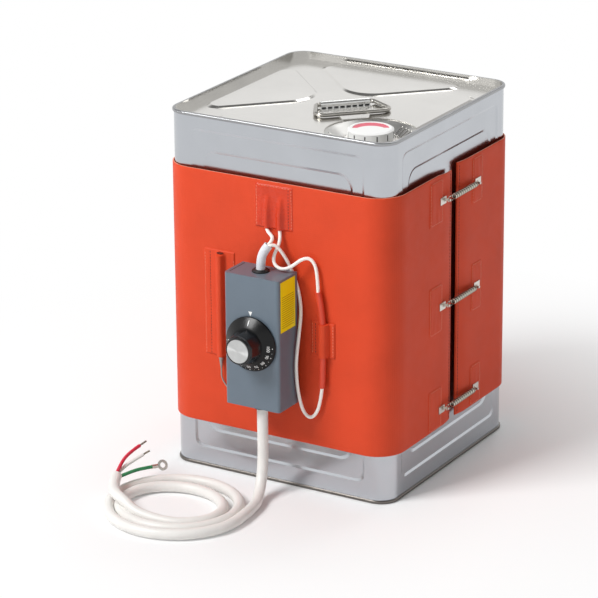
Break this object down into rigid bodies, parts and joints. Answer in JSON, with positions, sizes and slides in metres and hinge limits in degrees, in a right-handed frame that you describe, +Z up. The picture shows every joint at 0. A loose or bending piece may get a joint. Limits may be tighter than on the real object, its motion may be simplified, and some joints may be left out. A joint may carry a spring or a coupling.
{
  "type": "square can heater",
  "caption": "Flexible band heater sprung round a square metal can, with a dial temperature controller on the front and a bare-ended power cord.",
  "frame": {"origin": "on the floor under the can's axis, at the centre of the can's square", "axes": "+Z up along the can, -Y towards the controller and its dial, +X towards the band's opening and its springs"},
  "size_m": [0.2508, 0.4147, 0.349],
  "materials": {
    "tinplate": "bright rolled tinplate",
    "cap_white": "moulded, slightly glossy",
    "bright_steel": "bright wire and sheet",
    "band_cloth": "rubber coated cloth, satin",
    "patch_cloth": "rubber coated cloth, slightly glossy",
    "case_paint": "fine textured paint",
    "plate_film": "printed film",
    "black_rubber": "matte",
    "black_plastic": "moulded, fine radial sheen",
    "turned_aluminium": "turned face",
    "plain_steel": "plain drawn steel",
    "regulator_body": "moulded",
    "lead_white": "satin",
    "braid_grey": "woven glass fibre",
    "fuse_red": "satin tube",
    "cord_white": "satin jacket",
    "core_red": "satin",
    "core_white": "satin",
    "core_green": "satin",
    "copper": "bare stranded wire"
  },
  "bodies": {
    "heater": {"can_body": "tinplate", "can_top": "tinplate", "spout_ring": "tinplate", "spout_cap": "cap_white", "bail_strap": "tinplate", "heater_band": "band_cloth", "lead_patch": "patch_cloth", "sensor_pocket": "band_cloth", "fuse_loop": "band_cloth", "case_cover": "case_paint", "case_frame": "case_paint", "rating_plate": "plate_film", "foot_upper": "black_rubber", "foot_lower": "black_rubber", "lead_grommet": "black_rubber", "cord_gland": "black_plastic", "regulator": "regulator_body", "sensor_bulb": "plain_steel", "capillary": "plain_steel", "lead_left": "lead_white", "lead_right": "lead_white", "lead_return": "lead_white", "braided_sleeve": "braid_grey", "fuse_sleeve": "fuse_red", "cord_drop": "cord_white", "cord_coil": "cord_white", "cord_tail": "cord_white", "core_red": "core_red", "core_white": "core_white", "core_green": "core_green", "conductor_red": "copper", "conductor_white": "copper", "ring_terminal": "bright_steel", "spring_upper": "bright_steel", "patch_left_upper": "band_cloth", "tab_left_upper": "bright_steel", "patch_right_upper": "band_cloth", "tab_right_upper": "bright_steel", "spring_middle": "bright_steel", "patch_left_middle": "band_cloth", "tab_left_middle": "bright_steel", "patch_right_middle": "band_cloth", "tab_right_middle": "bright_steel", "spring_lower": "bright_steel", "patch_left_lower": "band_cloth", "tab_left_lower": "bright_steel", "patch_right_lower": "band_cloth", "tab_right_lower": "bright_steel"},
    "dial": {"dial_knob": "black_plastic", "dial_disc": "turned_aluminium", "dial_shaft": "plain_steel"},
    "handle": {"bail": "bright_steel"}
  },
  "joints": [
    {"name": "dial_turn", "type": "hinge", "parent": "heater", "child": "dial", "pos_m": [-0.001, -0.17, 0.1535], "axis": [0, 1, 0], "range_deg": [0, 280]},
    {"name": "handle_fold", "type": "hinge", "parent": "heater", "child": "handle", "pos_m": [0.0105, -0.0105, 0.3454], "axis": [-0.7071, -0.7071, 0], "range_deg": [0, 180]}
  ]
}
